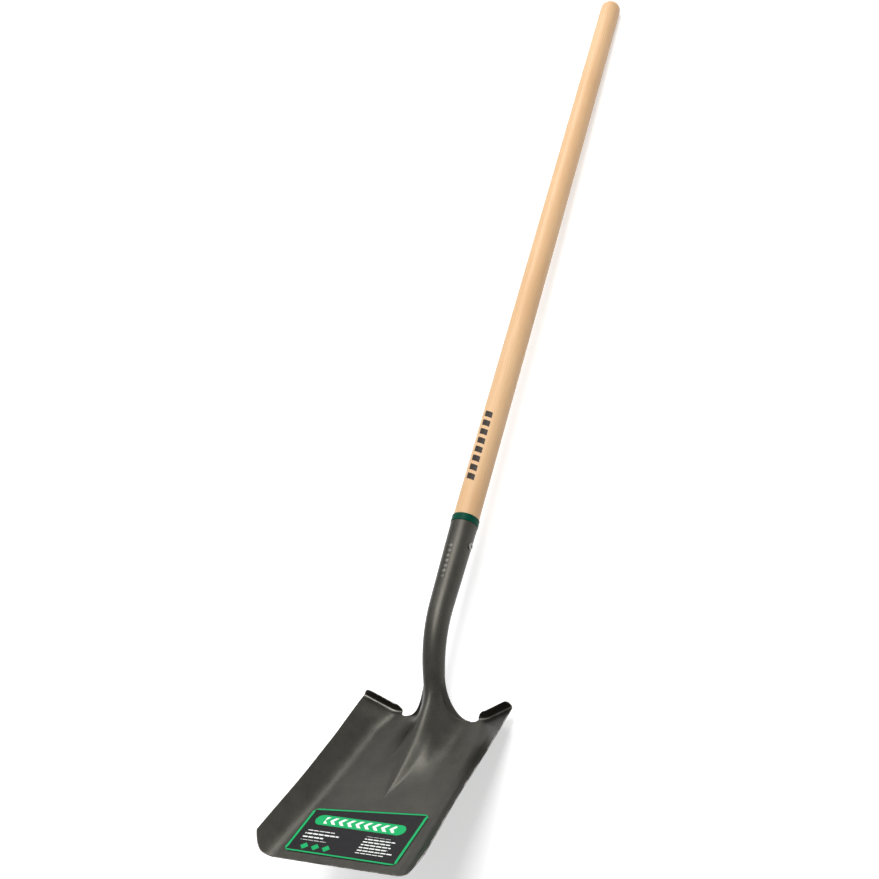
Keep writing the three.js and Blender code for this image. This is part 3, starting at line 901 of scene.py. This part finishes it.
socket_bore = neck_frame(0)[2] - SHEET
chuck_bore = neck_frame(CHUCK_LENGTH - CHUCK_TIP_LENGTH)[2] - SHEET
pole_outline = [(0.0, -CHUCK_LENGTH), (CHUCK_TIP - CHUCK_CHAMFER, -CHUCK_LENGTH)]
pole_outline += [(CHUCK_TIP, CHUCK_CHAMFER - CHUCK_LENGTH)]
pole_outline += [(chuck_bore - 2 * CLEARANCE, CHUCK_TIP_LENGTH - CHUCK_LENGTH)]
pole_outline += [(socket_bore - CLEARANCE, 0.0), (socket_bore - CLEARANCE, CLEARANCE)]
pole_foot = CLEARANCE + FOOT_ROUND
pole_top = HANDLE_EXPOSED - DOME_LENGTH
pole_foot_r = HANDLE_LOW - FOOT_ROUND
pole_outline += arc(pole_foot_r, pole_foot, FOOT_ROUND, FOOT_ROUND, -90, 0, FOOT_ROUND_STEPS)
for share in count_up(POLE_ROWS)[1:-1]:
    pole_outline.append((mix(HANDLE_LOW, HANDLE_HIGH, share), mix(pole_foot, pole_top, share)))
pole_outline += arc(0.0, pole_top, HANDLE_HIGH, DOME_LENGTH - TIP_MARGIN, 0, 90, DOME_STEPS)
pole_outline[-1] = (0.0, HANDLE_EXPOSED - TIP_MARGIN)
pole = turned_object("wooden_pole", pole_outline, POLE_SIDES)
dress(pole, "handle", wood_material())

inner = HANDLE_LOW + CLEARANCE
outer = inner + COLLAR_WALL
low, high = CLEARANCE, CLEARANCE + COLLAR_LENGTH
waist = outer - COLLAR_WAIST
round_r, round_low, round_high = outer - COLLAR_ROUND, low + COLLAR_ROUND, high - COLLAR_ROUND
ring = [(inner, low)]
ring += arc(round_r, round_low, COLLAR_ROUND, COLLAR_ROUND, -90, 0, COLLAR_ROUND_STEPS)
ring += [(waist, low + COLLAR_LOW_BAND), (waist, high - COLLAR_HIGH_BAND)]
ring += arc(round_r, round_high, COLLAR_ROUND, COLLAR_ROUND, 0, 90, COLLAR_ROUND_STEPS)
ring += [(inner, high), (inner, low)]
collar = turned_object("collar_ring", ring, POLE_SIDES)
dress(collar, "collar", collar_material())

seat = neck_frame(RIVET_BELOW)[2] + CLEARANCE
lip = RIVET_HEAD - RIVET_LIP
pin = [(0.0, -seat - RIVET_FLAT)]
pin += arc(0.0, -seat, RIVET_HEAD, RIVET_FLAT, -84, -14, RIVET_FLAT_STEPS)
pin += [(lip, -seat), (RIVET_SHANK, -seat), (RIVET_SHANK, seat), (lip, seat)]
pin += arc(0.0, seat, RIVET_HEAD, RIVET_DOME, 10, 84, RIVET_DOME_STEPS)
pin += [(0.0, seat + RIVET_DOME)]
rivet = turned_object("domed_rivet", pin, RIVET_SIDES, "X", (0, -RIVET_BELOW, 0))
dress(rivet, "rivet", rivet_material())


FILM_EDGE_SHARE = 0.6
FILM_TOP_SHARE = 0.9985
FILM_MIDDLE_SHARE = 0.5


def label_object():
    """A fan of rings inside the film's rounded outline. It keeps its print places and its edge distance."""
    corners = [np.array(corner) for corner in (
        (LABEL_LEFT, 0.0),
        (LABEL_RIGHT, 0.0),
        (LABEL_RIGHT, LABEL_DEPTH_RIGHT),
        (LABEL_LEFT, LABEL_DEPTH_LEFT),
    )]
    outline = []
    for i, corner in enumerate(corners):
        enter = corner + unit(corners[i - 1] - corner) * LABEL_CORNER
        leave = corner + unit(corners[(i + 1) % len(corners)] - corner) * LABEL_CORNER
        for s in count_up(LABEL_CORNER_STEPS):
            outline.append(enter * (1 - s) ** 2 + corner * 2 * s * (1 - s) + leave * s**2)
    outline = np.array(outline)
    centre = outline.mean(0)
    zone = math.atan(ZONE_SLOPE)
    up = RISE * math.cos(zone) - ALONG * math.sin(zone)
    away = -(ALONG * math.cos(zone) + RISE * math.sin(zone))
    root = blade_place(0, BLADE_LENGTH, 0)

    def place(flat, height):
        reach = away * (flat[1] + LABEL_FROM_MOUTH)
        return root + np.array([flat[0], 0, 0]) + reach + up * (CLEARANCE + height)

    size = len(outline)
    rings = [(1.0, 0.0), (1.0, LABEL_FILM * FILM_EDGE_SHARE)]
    rings += [(FILM_TOP_SHARE, LABEL_FILM), (FILM_MIDDLE_SHARE, LABEL_FILM)]
    points, prints = [place(centre, 0.0)], [centre]
    for share, height in rings:
        for p in outline:
            flat = centre + (p - centre) * share
            points.append(place(flat, height))
            prints.append(flat)
    points.append(place(centre, LABEL_FILM))
    prints.append(centre)
    faces = []
    for i in range(size):
        j = (i + 1) % size
        faces.append([0, 1 + j, 1 + i])
        for r in range(len(rings) - 1):
            a, b = 1 + r * size, 1 + (r + 1) * size
            faces.append([a + i, a + j, b + j, b + i])
        a = 1 + (len(rings) - 1) * size
        faces.append([a + i, a + j, len(points) - 1])
    obj = new_object("label_film", points, faces)
    slant = math.atan2(LABEL_DEPTH_RIGHT - LABEL_DEPTH_LEFT, LABEL_RIGHT - LABEL_LEFT)
    values = []
    for x, depth in prints:
        above = (LABEL_DEPTH_LEFT + (x - LABEL_LEFT) * math.tan(slant) - depth) * math.cos(slant)
        edge = min(x - LABEL_LEFT, LABEL_RIGHT - x, depth, above)
        values += [x * METRE, depth * METRE, edge * METRE]
    layer = obj.data.attributes.new("print", "FLOAT_VECTOR", "POINT")
    layer.data.foreach_set("vector", np.array(values, np.float32))
    return obj


label = label_object()
dress(label, "label", label_material())

# Floor and lamps, with sizes and distances in metres. Aims are in the tool's axes.

FLOOR_REACH = 12.0
FLOOR_GLOW = 0.55
SKY_LOW = 0.15
SKY_HIGH = 0.22
SKY_RISE_START = 0.22
SKY_RISE_END = 0.55


def floor_object():
    mesh = bpy.data.meshes.new("floor")
    signs = ((-1, -1), (1, -1), (1, 1), (-1, 1))
    mesh.from_pydata([(x * FLOOR_REACH, y * FLOOR_REACH, 0) for x, y in signs], [], [(0, 1, 2, 3)])
    obj = bpy.data.objects.new("floor", mesh)
    bpy.context.scene.collection.objects.link(obj)
    n = material_nodes("pale_floor")
    glow = {"Emission_Color": WHITE, "Emission_Strength": n.times(n.seen(), FLOOR_GLOW)}
    mesh.materials.append(n.finish(Base_Color=FLOOR_GREY, Roughness=0.95, Specular_IOR_Level=0.0, **glow))


floor_object()

scene = bpy.context.scene
scene.view_settings.view_transform = "Standard"
scene.world = bpy.data.worlds.new("studio")
sky = Nodes(scene.world)
height = sky.parts(sky.add("ShaderNodeTexCoord", output="Generated"))["Z"]
fill = sky.ramp(height, SKY_RISE_START, SKY_RISE_END, SKY_LOW, SKY_HIGH)
background = sky.tree.nodes["Background"]
sky.put(background.inputs["Color"], WHITE)
sky.put(background.inputs["Strength"], sky.math("MAXIMUM", sky.seen(), fill))

TURN = Matrix.Rotation(LYING_ANGLE, 3, "X")


def softbox(name, direction, distance, width, length, radiance, aim):
    """A rectangular lamp over the tool, its length along the handle.

    Direction and aim are in the tool's axes.
    """
    lamp = bpy.data.lights.new(name, "AREA")
    lamp.shape = "RECTANGLE"
    lamp.size, lamp.size_y = width, length
    lamp.energy = radiance * math.pi * width * length
    obj = bpy.data.objects.new(name, lamp)
    scene.collection.objects.link(obj)
    away = (TURN @ Vector(direction)).normalized()
    side = (TURN @ Vector((0, 1, 0))).cross(away).normalized()
    turn = Matrix((side, away.cross(side), away)).transposed()
    obj.matrix_world = Matrix.Translation(LAY @ Vector(aim) + away * distance) @ turn.to_4x4()


NECK = (0.0, -200.0, -20.0)
RIDGE_HEAD = (0.0, -250.0, -20.0)
softbox("key", (0.08, 0.22, 1.0), distance=2.4, width=1.3, length=1.8, radiance=7.4, aim=NECK)
softbox("back", (-0.22, 0.80, 0.56), distance=2.8, width=0.8, length=0.8, radiance=13.0, aim=RIDGE_HEAD)
softbox("side", (-0.62, 0.31, 0.72), distance=2.6, width=1.0, length=1.4, radiance=1.4, aim=NECK)

# The camera, fitted to the photograph, in the tool's axes: its place, and its right, down and ahead as rows
EYE = (951.1139264385345, -897.8353503893293, 1570.6368015804417)
VIEW = Matrix((
    (0.8768927964902802, 0.254116052489558, -0.40802457687078164),
    (-0.013057393319235985, -0.8359323469421822, -0.5486771508049537),
    (-0.480508613807456, 0.48645877852379166, -0.7297049601407255),
))
FOCAL_PIXELS = 1425.6863568292524
FRAME_PIXELS = 879
SENSOR_WIDTH = 36.0
CLIP_START = 0.05
CLIP_END = 60.0
camera_data = bpy.data.cameras.new("view")
camera_data.sensor_width = SENSOR_WIDTH
camera_data.lens = FOCAL_PIXELS / FRAME_PIXELS * SENSOR_WIDTH
camera_data.clip_start = CLIP_START
camera_data.clip_end = CLIP_END
camera = bpy.data.objects.new("view", camera_data)
scene.collection.objects.link(camera)
right_axis = TURN @ Vector(VIEW[0])
up_axis = -(TURN @ Vector(VIEW[1]))
back_axis = -(TURN @ Vector(VIEW[2]))
turn = Matrix((right_axis, up_axis, back_axis)).transposed()
camera.matrix_world = Matrix.Translation(LAY @ Vector(EYE)) @ turn.to_4x4()
scene.camera = camera
